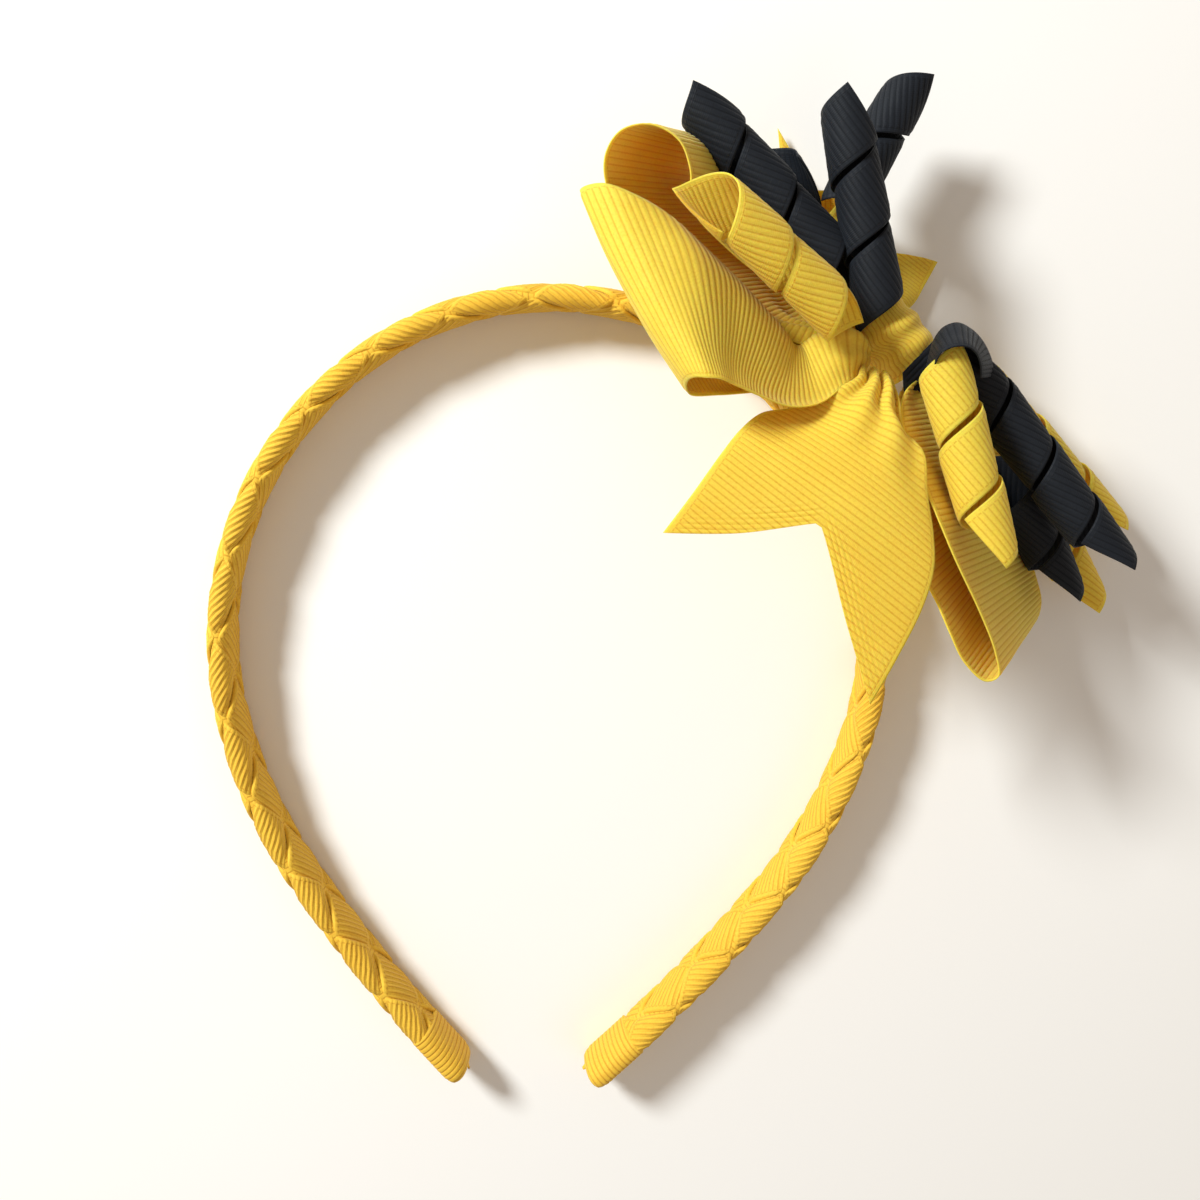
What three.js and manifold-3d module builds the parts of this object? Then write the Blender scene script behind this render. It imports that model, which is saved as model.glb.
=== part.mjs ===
// Child's hard hair band woven over with grosgrain ribbon, carrying a wide ribbon bow
// and two sprays of curled narrow ribbon. It lies on its rear rim, as it would on a table.
// Millimetres, +Z up. +Y points from the open ends to the crown, +X to the side of the bow.

import * as THREE from 'three';
import { mergeVertices } from 'three/addons/utils/BufferGeometryUtils.js';
import Module from 'manifold-3d';

const wasm = await Module();
wasm.setup();

// Driving sizes
const WIDE_RIBBON = 38;
const NARROW_RIBBON = 9.5;
const BAND_SPAN = 112.2;          // side to side, at the middle of the band's thickness
const BAND_WIDTH = 10.5;          // front rim to rear rim
const BAND_THICKNESS = 4.6;
const WRAP_COUNT = 26;            // turns of braid from tip to tip
const WRAP_NOTCH = 0.4;           // depth of the groove where two turns meet
const SHEET = 1.0;                // wall of a ribbon
const CLEARANCE = 0.34;           // kept between two pieces
const CURL_RADIUS = 3.7;
const CURL_STEP = 1.08;           // from winding to winding, in widths of the ribbon
const FLOOR_LIFT = 0.5;           // lowest ribbon above the floor

// Middle of the bow, from the middle of the band
const BOW_CENTRE = new THREE.Vector3(0.445 * BAND_SPAN, 0.572 * BAND_SPAN, 0.5 * WIDE_RIBBON);

// Half of the band, crown first: each arc's radius as a share of the span, and its turn
const BAND_ARCS = [
  { name: 'crown', radius: 0.478, turn: 37.5 },
  { name: 'side', radius: 0.534, turn: 67.7 },
  { name: 'leg', radius: 0.775, turn: 20.6 },
  { name: 'tip', radius: 2.6, turn: 8.9 },
];
const BAND_TOP = 0.609 * BAND_SPAN;       // crown of the band above its middle
const LEG_LEAN = 6;                      // degrees the legs open toward the front

// Band's section: out is a share of half its thickness, up a share of its width.
// notch is the quarter of a wrap where the groove crosses this column, none where it is flat.
const BAND_COLUMNS = [
  { out: -0.5, up: 0.0, notch: null },
  { out: 0.5, up: 0.0, notch: null },
  { out: 0.92, up: 0.09, notch: 0 },
  { out: 1.04, up: 0.28, notch: 0 },
  { out: 1.08, up: 0.5, notch: 1 },
  { out: 1.04, up: 0.72, notch: 2 },
  { out: 0.92, up: 0.91, notch: 2 },
  { out: 0.5, up: 1.0, notch: 2 },
  { out: -0.5, up: 1.0, notch: 2 },
  { out: -0.92, up: 0.91, notch: 2 },
  { out: -1.04, up: 0.72, notch: 2 },
  { out: -1.08, up: 0.5, notch: 1 },
  { out: -1.04, up: 0.28, notch: 0 },
  { out: -0.92, up: 0.09, notch: 0 },
];

// Wide ribbons, a row per fold, in shares of the ribbon's width from the bow's centre.
// near and far are the two selvages; bulge lifts the middle between them, and skew moves
// the crest of the bulge toward the near selvage.
const LOOP_FRONT = [
  { near: [-0.16, 0.00, 0.10], far: [-0.12, -0.15, 0.10], bulge: 0.06, skew: 0.00 },
  { near: [-0.24, 0.00, 0.04], far: [-0.21, -0.19, 0.26], bulge: 0.10, skew: 0.03 },
  { near: [-0.38, -0.05, -0.04], far: [-0.36, -0.29, 0.42], bulge: 0.11, skew: 0.06 },
  { near: [-0.50, -0.04, -0.04], far: [-0.49, -0.31, 0.50], bulge: 0.12, skew: 0.06 },
  { near: [-0.63, 0.09, 0.03], far: [-0.62, -0.28, 0.57], bulge: 0.13, skew: 0.05 },
  { near: [-0.80, 0.25, 0.18], far: [-0.72, -0.25, 0.63], bulge: 0.11, skew: 0.04 },
  { near: [-0.97, 0.37, 0.36], far: [-0.79, -0.23, 0.68], bulge: 0.04, skew: 0.02 },
  { near: [-1.12, 0.44, 0.40], far: [-0.84, -0.23, 0.69], bulge: 0.02, skew: 0.00 },
  { near: [-1.25, 0.48, 0.37], far: [-0.88, -0.23, 0.66], bulge: 0.03, skew: 0.00 },
  { near: [-1.33, 0.46, 0.31], far: [-0.90, -0.25, 0.58], bulge: 0.03, skew: 0.00 },
  { near: [-1.27, 0.42, 0.24], far: [-0.87, -0.29, 0.48], bulge: 0.03, skew: 0.00 },
  { near: [-1.06, 0.33, 0.22], far: [-0.74, -0.28, 0.36], bulge: 0.03, skew: 0.00 },
  { near: [-0.80, 0.20, 0.16], far: [-0.58, -0.26, 0.22], bulge: 0.03, skew: 0.00 },
  { near: [-0.54, 0.03, 0.03], far: [-0.41, -0.25, 0.05], bulge: 0.02, skew: 0.00 },
  { near: [-0.30, -0.08, -0.02], far: [-0.22, -0.17, -0.10], bulge: 0.00, skew: 0.00 },
  { near: [-0.20, -0.05, 0.00], far: [-0.15, -0.10, -0.10], bulge: 0.00, skew: 0.00 },
];
const LOOP_LEFT = [
  { near: [-0.17, 0.06, 0.12], far: [-0.08, 0.13, -0.10], bulge: 0.00 },
  { near: [-0.31, 0.08, 0.25], far: [-0.11, 0.19, -0.20], bulge: 0.00 },
  { near: [-0.53, 0.14, 0.34], far: [-0.23, 0.25, -0.33], bulge: 0.00 },
  { near: [-0.76, 0.27, 0.40], far: [-0.38, 0.40, -0.42], bulge: 0.00 },
  { near: [-0.91, 0.40, 0.44], far: [-0.50, 0.53, -0.44], bulge: 0.00 },
  { near: [-0.93, 0.54, 0.45], far: [-0.52, 0.67, -0.44], bulge: 0.00 },
  { near: [-0.98, 0.64, 0.45], far: [-0.57, 0.77, -0.44], bulge: 0.00 },
  { near: [-1.09, 0.69, 0.45], far: [-0.67, 0.82, -0.44], bulge: 0.00 },
  { near: [-1.20, 0.66, 0.45], far: [-0.78, 0.79, -0.44], bulge: 0.00 },
  { near: [-1.25, 0.57, 0.42], far: [-0.81, 0.70, -0.45], bulge: 0.00 },
  { near: [-1.22, 0.44, 0.36], far: [-0.74, 0.58, -0.45], bulge: 0.00 },
  { near: [-1.08, 0.30, 0.26], far: [-0.58, 0.45, -0.45], bulge: 0.00 },
  { near: [-0.84, 0.15, 0.20], far: [-0.38, 0.28, -0.44], bulge: 0.00 },
  { near: [-0.57, 0.02, 0.16], far: [-0.27, 0.11, -0.38], bulge: 0.00 },
  { near: [-0.33, -0.02, 0.10], far: [-0.17, 0.03, -0.22], bulge: 0.00 },
  { near: [-0.20, 0.00, 0.07], far: [-0.14, 0.02, -0.13], bulge: 0.00 },
];
const LOOP_RIGHT = [
  { near: [0.14, -0.13, 0.12], far: [0.22, -0.10, -0.12], bulge: 0.00 },
  { near: [0.02, -0.22, 0.24], far: [0.26, -0.17, -0.05], bulge: 0.00 },
  { near: [-0.01, -0.36, 0.36], far: [0.47, -0.29, -0.15], bulge: 0.00 },
  { near: [0.07, -0.57, 0.45], far: [0.66, -0.52, -0.25], bulge: 0.00 },
  { near: [0.19, -0.82, 0.50], far: [0.765, -0.76, -0.29], bulge: 0.00 },
  { near: [0.32, -1.04, 0.50], far: [0.845, -0.96, -0.29], bulge: 0.00 },
  { near: [0.41, -1.22, 0.50], far: [0.895, -1.10, -0.29], bulge: 0.00 },
  { near: [0.43, -1.31, 0.50], far: [0.88, -1.18, -0.29], bulge: 0.00 },
  { near: [0.38, -1.33, 0.50], far: [0.84, -1.20, -0.29], bulge: 0.00 },
  { near: [0.29, -1.26, 0.50], far: [0.74, -1.11, -0.29], bulge: 0.00 },
  { near: [0.22, -1.15, 0.50], far: [0.67, -0.98, -0.29], bulge: 0.00 },
  { near: [0.16, -1.03, 0.47], far: [0.62, -0.86, -0.29], bulge: 0.00 },
  { near: [0.08, -0.88, 0.42], far: [0.57, -0.71, -0.32], bulge: 0.00 },
  { near: [0.04, -0.65, 0.33], far: [0.48, -0.53, -0.33], bulge: 0.00 },
  { near: [0.03, -0.42, 0.22], far: [0.37, -0.36, -0.27], bulge: 0.00 },
  { near: [0.06, -0.26, 0.10], far: [0.25, -0.22, -0.20], bulge: 0.00 },
  { near: [0.13, -0.17, 0.04], far: [0.20, -0.14, -0.15], bulge: 0.00 },
];
const TAIL_FRONT = [
  { near: [-0.15, -0.13, 0.16], far: [-0.03, -0.16, 0.20], bulge: 0.00 },
  { near: [-0.18, -0.18, 0.24], far: [-0.02, -0.25, 0.31], bulge: 0.03 },
  { near: [-0.25, -0.22, 0.28], far: [-0.01, -0.37, 0.38], bulge: 0.06 },
  { near: [-0.34, -0.27, 0.30], far: [0.06, -0.46, 0.45], bulge: 0.08 },
  { near: [-0.45, -0.315, 0.33], far: [0.08, -0.61, 0.48], bulge: 0.08 },
  { near: [-0.57, -0.34, 0.36], far: [0.11, -0.76, 0.51], bulge: 0.07 },
  { near: [-0.66, -0.41, 0.42], far: [0.12, -0.89, 0.53], bulge: 0.05 },
  { near: [-0.73, -0.50, 0.46], far: [0.09, -1.05, 0.53], bulge: 0.03 },
  { near: [-0.84, -0.67, 0.49], far: [0.01, -1.26, 0.52], bulge: 0.01 },
  { near: [-0.94, -0.82, 0.50], far: [-0.07, -1.45, 0.50], bulge: 0.00 },
];
const TAIL_REAR = [
  { near: [-0.04, 0.16, -0.26], far: [0.07, 0.13, -0.26], bulge: 0.00 },
  { near: [-0.14, 0.25, -0.38], far: [0.15, 0.15, -0.38], bulge: 0.00 },
  { near: [-0.29, 0.44, -0.43], far: [0.21, 0.20, -0.40], bulge: 0.00 },
  { near: [-0.41, 0.68, -0.45], far: [0.26, 0.29, -0.43], bulge: 0.00 },
  { near: [-0.46, 0.91, -0.45], far: [0.31, 0.39, -0.45], bulge: 0.00 },
];
const ARCH = [
  { near: [0.085, -0.143, 0.38], far: [0.114, -0.104, 0.20], bulge: 0.00 },
  { near: [0.069, -0.104, 0.46], far: [0.106, -0.054, 0.25], bulge: 0.00 },
  { near: [0.076, -0.067, 0.50], far: [0.104, -0.009, 0.29], bulge: 0.00 },
  { near: [0.11, -0.047, 0.51], far: [0.129, 0.039, 0.31], bulge: 0.00 },
  { near: [0.147, -0.04, 0.51], far: [0.18, 0.061, 0.32], bulge: 0.00 },
  { near: [0.183, -0.045, 0.50], far: [0.246, 0.039, 0.31], bulge: 0.00 },
  { near: [0.215, -0.064, 0.48], far: [0.311, -0.009, 0.28], bulge: 0.00 },
  { near: [0.248, -0.099, 0.44], far: [0.365, -0.075, 0.24], bulge: 0.00 },
  { near: [0.278, -0.148, 0.38], far: [0.396, -0.128, 0.19], bulge: 0.00 },
];
const STRAP = [
  { near: [0.14, 0.00, 0.17], far: [0.02, -0.14, 0.19], bulge: 0.00 },
  { near: [0.17, -0.08, 0.17], far: [0.04, -0.22, 0.17], bulge: 0.00 },
  { near: [0.22, -0.18, 0.11], far: [0.09, -0.29, 0.11], bulge: 0.00 },
];

const SKEW_SCALE = 10.4;          // makes a skew's own height 1 share of the ribbon's width

// How far along the ribbon its forked end reaches at the near selvage, the fork and the far selvage
const FRONT_FORK = { near: 1.0, fork: 0.77, at: 0.47, far: 1.0 };
const REAR_FORK = { near: 1.0, fork: 0.6, at: 0.5, far: 1.0 };

// Curled ribbons: middle of the free end and of the end by the bow, in shares of the wide
// ribbon's width from the bow's centre, and the turn (in degrees) where the winding starts
const CURLS = [
  { name: 'curl_yellow_left', free: [-0.86, 0.44, 0.58], held: [-0.28, 0.04, 0.37], start: 180, yellow: true },
  { name: 'curl_navy_left_1', free: [-0.86, 0.82, 0.13], held: [-0.19, 0.22, 0.08], start: 38, yellow: false },
  { name: 'curl_navy_left_2', free: [-0.30, 0.84, 0.18], held: [-0.09, 0.14, 0.13], start: 56, yellow: false },
  { name: 'curl_navy_left_3', free: [0.00, 1.01, -0.13], held: [-0.19, 0.61, -0.11], start: 16, yellow: false },
  { name: 'curl_navy_left_rear', free: [-0.475, 0.70, -0.18], held: [-0.34, 0.50, -0.18], start: 120, yellow: false },
  { name: 'curl_yellow_left_rear', free: [-0.27, 0.55, -0.24], held: [-0.065, 0.15, -0.19], start: 238, yellow: true },
  { name: 'curl_yellow_right', free: [0.36, -0.78, 0.45], held: [0.13, -0.10, 0.36], start: 60, yellow: true },
  { name: 'curl_navy_right_1', free: [0.95, -0.81, 0.18], held: [0.31, -0.11, 0.16], start: 72, yellow: false },
  { name: 'curl_navy_right_2', free: [0.88, -0.97, -0.12], held: [0.60, -0.53, -0.06], start: 75, yellow: false },
  { name: 'curl_yellow_right_1', free: [1.09, -0.69, -0.24], held: [0.51, -0.16, -0.24], start: 80, yellow: true },
  { name: 'curl_yellow_right_2', free: [1.10, -1.04, -0.36], held: [0.78, -0.58, -0.36], start: 56, yellow: true },
];

// Knot: a strip of wide ribbon gathered round the middle of the bow
const KNOT = { length: 0.30, reach: 0.145, depth: 0.19, pleats: 3, tilt: -49 };
const KNOT_WALL = 1.6;
const KNOT_WAIST = 0.14;          // share of its radius lost at both ends
const KNOT_FLARE = 0.10;          // and gained toward the lower right end
const KNOT_PLEAT = 0.14;          // rise and fall of its soft pleats

function fromBow([x, y, z]) {
  return new THREE.Vector3(x, y, z).multiplyScalar(WIDE_RIBBON).add(BOW_CENTRE);
}

// Closed mesh from rings of points. A ring lists one side of a sheet and then the other,
// so an end is closed by a strip of quads between the two halves of its ring.
function loft(rings, joinEnds) {
  const count = rings[0].length;
  const last = joinEnds ? rings.length : rings.length - 1;
  const positions = rings.flat().flatMap((point) => [point.x, point.y, point.z]);
  const index = [];
  for (let i = 0; i < last; i += 1) {
    const here = i * count;
    const next = ((i + 1) % rings.length) * count;
    for (let j = 0; j < count; j += 1) {
      const k = (j + 1) % count;
      index.push(here + j, next + j, next + k);
      index.push(here + j, next + k, here + k);
    }
  }
  if (!joinEnds) {
    const end = (rings.length - 1) * count;
    for (let j = 0; j < count / 2 - 1; j += 1) {
      const k = count - 1 - j;
      index.push(j, j + 1, k - 1);
      index.push(j, k - 1, k);
      index.push(end + j, end + k - 1, end + j + 1);
      index.push(end + j, end + k, end + k - 1);
    }
  }
  return facingOut(positions, index);
}

function facingOut(positions, index) {
  const geometry = new THREE.BufferGeometry();
  geometry.setAttribute('position', new THREE.Float32BufferAttribute(positions, 3));
  geometry.setIndex(index);
  if (signedVolume(geometry) < 0) {
    const turned = [];
    for (let i = 0; i < index.length; i += 3) turned.push(index[i], index[i + 2], index[i + 1]);
    geometry.setIndex(turned);
  }
  return geometry;
}

function signedVolume(geometry) {
  const position = geometry.getAttribute('position');
  const index = geometry.getIndex().array;
  const [a, b, c] = [new THREE.Vector3(), new THREE.Vector3(), new THREE.Vector3()];
  let sum = 0;
  for (let i = 0; i < index.length; i += 3) {
    a.fromBufferAttribute(position, index[i]);
    b.fromBufferAttribute(position, index[i + 1]);
    c.fromBufferAttribute(position, index[i + 2]);
    sum += a.dot(b.cross(c)) / 6;
  }
  return sum;
}

// Solid sheet on both sides of a grid of points; margin grows its borders too
function sheetSolid(grid, wall, margin) {
  const rows = grid.length;
  const columns = grid[0].length;
  const at = (i, j) => grid[THREE.MathUtils.clamp(i, 0, rows - 1)][THREE.MathUtils.clamp(j, 0, columns - 1)];
  const rings = grid.map((line, i) => {
    const upper = [];
    const lower = [];
    line.forEach((point, j) => {
      const along = at(i + 1, j).clone().sub(at(i - 1, j)).normalize();
      const across = at(i, j + 1).clone().sub(at(i, j - 1)).normalize();
      const normal = along.clone().cross(across).normalize();
      const middle = point.clone();
      if (i === 0) middle.addScaledVector(along, -margin);
      if (i === rows - 1) middle.addScaledVector(along, margin);
      if (j === 0) middle.addScaledVector(across, -margin);
      if (j === columns - 1) middle.addScaledVector(across, margin);
      upper.push(middle.clone().addScaledVector(normal, wall / 2 + margin));
      lower.unshift(middle.clone().addScaledVector(normal, -wall / 2 - margin));
    });
    return [...upper, ...lower];
  });
  return loft(rings, false);
}

function interpolate(values, t) {
  const curve = new THREE.SplineCurve(values.map((value, i) => new THREE.Vector2(i, value)));
  return curve.getPoint(t).y;
}

// Grid of a wide ribbon from its table of folds, cut square or to a fork
function ribbonGrid(rows, steps, columns, fork) {
  const near = new THREE.CatmullRomCurve3(rows.map((row) => fromBow(row.near)));
  const far = new THREE.CatmullRomCurve3(rows.map((row) => fromBow(row.far)));
  const bulges = rows.map((row) => row.bulge);
  const skews = rows.map((row) => row.skew || 0);
  const surface = (t, c) => {
    const step = 0.01;
    const before = near.getPoint(Math.max(t - step, 0)).add(far.getPoint(Math.max(t - step, 0)));
    const after = near.getPoint(Math.min(t + step, 1)).add(far.getPoint(Math.min(t + step, 1)));
    const across = far.getPoint(t).sub(near.getPoint(t)).normalize();
    const normal = after.sub(before).cross(across).normalize();
    const crown = interpolate(bulges, t) * 4 * c * (1 - c);
    const lean = interpolate(skews, t) * SKEW_SCALE * c * (1 - c) * (1 - 2 * c);
    const rise = (crown + lean) * WIDE_RIBBON;
    return near.getPoint(t).lerp(far.getPoint(t), c).addScaledVector(normal, rise);
  };
  const reach = (c) => {
    if (!fork) return 1;
    if (c < fork.at) return THREE.MathUtils.lerp(fork.near, fork.fork, c / fork.at);
    return THREE.MathUtils.lerp(fork.fork, fork.far, (c - fork.at) / (1 - fork.at));
  };
  const grid = [];
  for (let i = 0; i <= steps; i += 1) {
    const line = [];
    for (let j = 0; j <= columns; j += 1) {
      const c = j / columns;
      const point = surface((i / steps) * reach(c), c);
      point.z = Math.max(point.z, SHEET / 2 + FLOOR_LIFT);
      line.push(point);
    }
    grid.push(line);
  }
  return grid;
}

// Grid of a narrow ribbon wound into a curl, edge beside edge, round a straight axis
function curlGrid({ free, held, start }) {
  const from = fromBow(free);
  const axis = fromBow(held).sub(from);
  const length = axis.length();
  axis.normalize();
  const side = new THREE.Vector3(0, 0, 1).cross(axis).normalize();
  const up = axis.clone().cross(side);
  const pitch = NARROW_RIBBON * CURL_STEP;
  const slope = Math.asin(pitch / (2 * Math.PI * CURL_RADIUS));
  const windings = length / (2 * Math.PI * CURL_RADIUS * Math.tan(slope));
  const steps = Math.max(6, Math.round(windings * 10));
  const grid = [];
  for (let i = 0; i <= steps; i += 1) {
    const line = [];
    for (let j = 0; j <= 2; j += 1) {
      const along = ((i / steps) * windings * 2 * Math.PI * CURL_RADIUS) / Math.cos(slope);
      const across = (j / 2 - 0.5) * NARROW_RIBBON;
      const angle = (along * Math.cos(slope) - across * Math.sin(slope)) / CURL_RADIUS;
      const height = along * Math.sin(slope) + across * Math.cos(slope);
      const turn = angle + THREE.MathUtils.degToRad(start);
      const point = from.clone().addScaledVector(axis, height);
      point.addScaledVector(side, Math.cos(turn) * CURL_RADIUS);
      point.addScaledVector(up, Math.sin(turn) * CURL_RADIUS);
      line.push(point);
    }
    grid.push(line);
  }
  return grid;
}

// Point and outward direction at a distance from the crown, along one half of the band
function bandPoint(distance) {
  let heading = 0;
  let left = Math.abs(distance);
  const point = new THREE.Vector2(0, BAND_TOP);
  BAND_ARCS.forEach((arc, i) => {
    const radius = arc.radius * BAND_SPAN;
    const length = radius * THREE.MathUtils.degToRad(arc.turn);
    const used = i === BAND_ARCS.length - 1 ? left : Math.min(left, length);
    const turn = used / radius;
    point.x += radius * (Math.sin(heading + turn) - Math.sin(heading));
    point.y += radius * (Math.cos(heading + turn) - Math.cos(heading));
    heading += turn;
    left -= used;
  });
  const side = Math.sign(distance) || 1;
  return { x: side * point.x, y: point.y, outX: side * Math.sin(heading), outY: Math.cos(heading) };
}

function bandHalfLength() {
  return BAND_ARCS.reduce((sum, arc) => sum + arc.radius * BAND_SPAN * THREE.MathUtils.degToRad(arc.turn), 0);
}

function headbandSolid(margin) {
  const half = bandHalfLength();
  const stations = WRAP_COUNT * 4;
  const tipSteps = [{ back: 0, size: 0.35 }, { back: 0.8, size: 0.72 }, { back: 2.2, size: 0.94 }];
  const places = [];
  for (let i = 1; i < stations; i += 1) places.push({ distance: (i / stations * 2 - 1) * half, step: i, size: 1 });
  tipSteps.slice().reverse().forEach(({ back, size }) => {
    places.unshift({ distance: back - half, step: null, size });
    places.push({ distance: half - back, step: null, size });
  });
  places[0].grow = -margin;
  places[places.length - 1].grow = margin;
  const rings = places.map(({ distance, step, size, grow = 0 }) => {
    const { x, y, outX, outY } = bandPoint(distance + grow);
    const share = Math.abs(distance) / half;
    const lean = THREE.MathUtils.degToRad(LEG_LEAN) * THREE.MathUtils.smoothstep(share, 0.35, 0.85);
    return BAND_COLUMNS.map(({ out, up, notch }) => {
      const quarter = step === null ? 0 : step % 4;
      const grooved = notch !== null && step !== null && (quarter === notch || quarter === (4 - notch) % 4);
      const depth = grooved ? WRAP_NOTCH : 0;
      const height = BAND_WIDTH * (up === 0 ? 0 : 0.5 + (up - 0.5) * (0.4 + 0.6 * size));
      const rise = Math.sign(up - 0.5) * (margin - (Math.abs(up - 0.5) > 0.4 ? depth : 0));
      const thick = (BAND_THICKNESS / 2 - (Math.abs(up - 0.5) < 0.45 ? depth : 0)) * out * size + Math.sign(out) * margin;
      const away = thick + (height - BAND_WIDTH / 2) * Math.tan(lean);
      return new THREE.Vector3(x + outX * away, y + outY * away, height + rise);
    });
  });
  return loft(rings.map((ring) => [...ring.slice(1), ring[0]]), false);
}

// Barrel round the bow's middle, hollow along its axis, gathered into soft pleats
function knotSolid(margin) {
  const along = new THREE.Vector3(1, 0, 0).applyAxisAngle(new THREE.Vector3(0, 0, 1), THREE.MathUtils.degToRad(KNOT.tilt));
  const out = new THREE.Vector3(0, 0, 1).cross(along);
  const up = new THREE.Vector3(0, 0, 1);
  const turns = 16;
  const spans = 6;
  const rings = [];
  for (let i = 0; i < turns; i += 1) {
    const angle = (i / turns) * 2 * Math.PI;
    const place = (share, radial) => {
      const barrel = 1 - KNOT_WAIST * (2 * share - 1) ** 2 + KNOT_FLARE * (share - 0.5);
      const pleat = KNOT_PLEAT * Math.sin(share * KNOT.pleats * 2 * Math.PI + 0.6 * Math.sin(angle));
      const reach = (KNOT.reach * WIDE_RIBBON * barrel + pleat + radial) * Math.cos(angle);
      const rise = (KNOT.depth * WIDE_RIBBON * barrel + pleat + radial) * Math.sin(angle);
      const length = (share - 0.5) * (KNOT.length * WIDE_RIBBON + 2 * margin);
      return BOW_CENTRE.clone().addScaledVector(along, length).addScaledVector(out, reach).addScaledVector(up, rise);
    };
    const outer = [];
    const inner = [];
    for (let j = 0; j <= spans; j += 1) {
      outer.push(place(j / spans, margin));
      inner.unshift(place(j / spans, -KNOT_WALL - margin));
    }
    rings.push([...outer, ...inner]);
  }
  return loft(rings, true);
}

function toManifold(geometry) {
  const merged = mergeVertices(geometry, 1e-4);
  const mesh = new wasm.Mesh({
    numProp: 3,
    vertProperties: new Float32Array(merged.getAttribute('position').array),
    triVerts: new Uint32Array(merged.getIndex().array),
  });
  return new wasm.Manifold(mesh);
}

function toGeometry(manifold) {
  const mesh = manifold.getMesh();
  const geometry = new THREE.BufferGeometry();
  geometry.setAttribute('position', new THREE.Float32BufferAttribute(Array.from(mesh.vertProperties), 3));
  geometry.setIndex(Array.from(mesh.triVerts));
  return geometry;
}

function largestBody(manifold) {
  const bodies = manifold.decompose();
  return bodies.reduce((best, body) => (body.volume() > best.volume() ? body : best));
}

// Every piece as a function of margin, in the order in which one gives way to another
function ribbonPiece(name, rows, steps, columns, fork, yellow) {
  const grid = ribbonGrid(rows, steps, columns, fork);
  return { name, yellow, solid: (margin) => sheetSolid(grid, SHEET, margin) };
}

function curlPiece(row) {
  const grid = curlGrid(row);
  return { name: row.name, yellow: row.yellow, solid: (margin) => sheetSolid(grid, SHEET, margin) };
}

const PIECES = [
  { name: 'headband', yellow: true, solid: headbandSolid },
  { name: 'bow_knot', yellow: true, solid: knotSolid },
  ribbonPiece('bow_loop_right', LOOP_RIGHT, 32, 5, null, true),
  ribbonPiece('bow_loop_left', LOOP_LEFT, 32, 5, null, true),
  ribbonPiece('bow_loop_front', LOOP_FRONT, 30, 6, null, true),
  ribbonPiece('bow_tail_front', TAIL_FRONT, 18, 6, FRONT_FORK, true),
  ribbonPiece('bow_tail_rear', TAIL_REAR, 12, 6, REAR_FORK, true),
  ...CURLS.map(curlPiece),
  ribbonPiece('curl_navy_strap', STRAP, 4, 2, null, false),
  ribbonPiece('curl_navy_arch', ARCH, 14, 2, null, false),
];

const YELLOW_RIBBON = { color: 0xf0c23c, roughness: 0.72, metalness: 0 };
const NAVY_RIBBON = { color: 0x20242e, roughness: 0.7, metalness: 0 };

const headband = new THREE.Group();
const placed = [];
for (const piece of PIECES) {
  let body = toManifold(piece.solid(0));
  for (const neighbour of placed) {
    if (neighbour.grown.intersect(body).isEmpty()) continue;
    body = largestBody(body.subtract(neighbour.grown));
  }
  placed.push({ grown: toManifold(piece.solid(CLEARANCE)) });
  const material = new THREE.MeshStandardMaterial(piece.yellow ? YELLOW_RIBBON : NAVY_RIBBON);
  const mesh = new THREE.Mesh(toGeometry(body), material);
  mesh.name = piece.name;
  headband.add(mesh);
}

// Origin under the middle of the whole object, on the floor
const bounds = new THREE.Box3().setFromObject(headband);
const middle = bounds.getCenter(new THREE.Vector3());
headband.position.set(-middle.x, -middle.y, -bounds.min.z);

export default headband;
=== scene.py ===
import math

import bpy
import numpy as np
from mathutils import Matrix, Vector


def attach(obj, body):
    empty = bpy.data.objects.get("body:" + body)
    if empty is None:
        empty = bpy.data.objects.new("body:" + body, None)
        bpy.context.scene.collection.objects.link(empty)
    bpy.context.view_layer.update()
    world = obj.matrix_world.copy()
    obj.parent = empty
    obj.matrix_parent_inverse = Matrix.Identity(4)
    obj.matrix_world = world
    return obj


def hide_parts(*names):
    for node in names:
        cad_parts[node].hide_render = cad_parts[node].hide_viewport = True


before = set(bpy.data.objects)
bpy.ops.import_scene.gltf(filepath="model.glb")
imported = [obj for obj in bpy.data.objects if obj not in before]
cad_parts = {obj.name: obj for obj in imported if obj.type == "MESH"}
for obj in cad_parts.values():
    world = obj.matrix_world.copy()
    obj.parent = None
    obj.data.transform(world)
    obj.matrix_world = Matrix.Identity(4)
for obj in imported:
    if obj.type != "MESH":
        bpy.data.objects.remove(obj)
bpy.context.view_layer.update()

# Studio: the hair band lies on a pale table under a soft lamp at the upper left, with a weaker one
# at the lower right and warm light all round. The camera looks down on it, tilted by a few degrees.
camera = bpy.data.objects.new("camera", bpy.data.cameras.new("camera"))
camera.data.sensor_width = 36
camera.data.lens = 39
camera.data.clip_start = 0.01
camera.matrix_world = Matrix((
    (0.99654, -0.05660, -0.06092, -0.02470),
    (0.06462, 0.98819, 0.13898, 0.03098),
    (0.05234, -0.14243, 0.98842, 0.22650),
    (0, 0, 0, 1),
))
bpy.context.scene.collection.objects.link(camera)
bpy.context.scene.camera = camera


def soft_lamp(name, place, size, power, tint):
    """A round lamp of that size, turned to the hair band."""
    lamp = bpy.data.objects.new(name, bpy.data.lights.new(name, "AREA"))
    lamp.data.shape = "DISK"
    lamp.data.size = size
    lamp.data.energy = power
    lamp.data.color = tint
    lamp.location = place
    lamp.rotation_mode = "QUATERNION"
    lamp.rotation_quaternion = Vector(place).to_track_quat("Z", "Y")
    bpy.context.scene.collection.objects.link(lamp)


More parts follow.
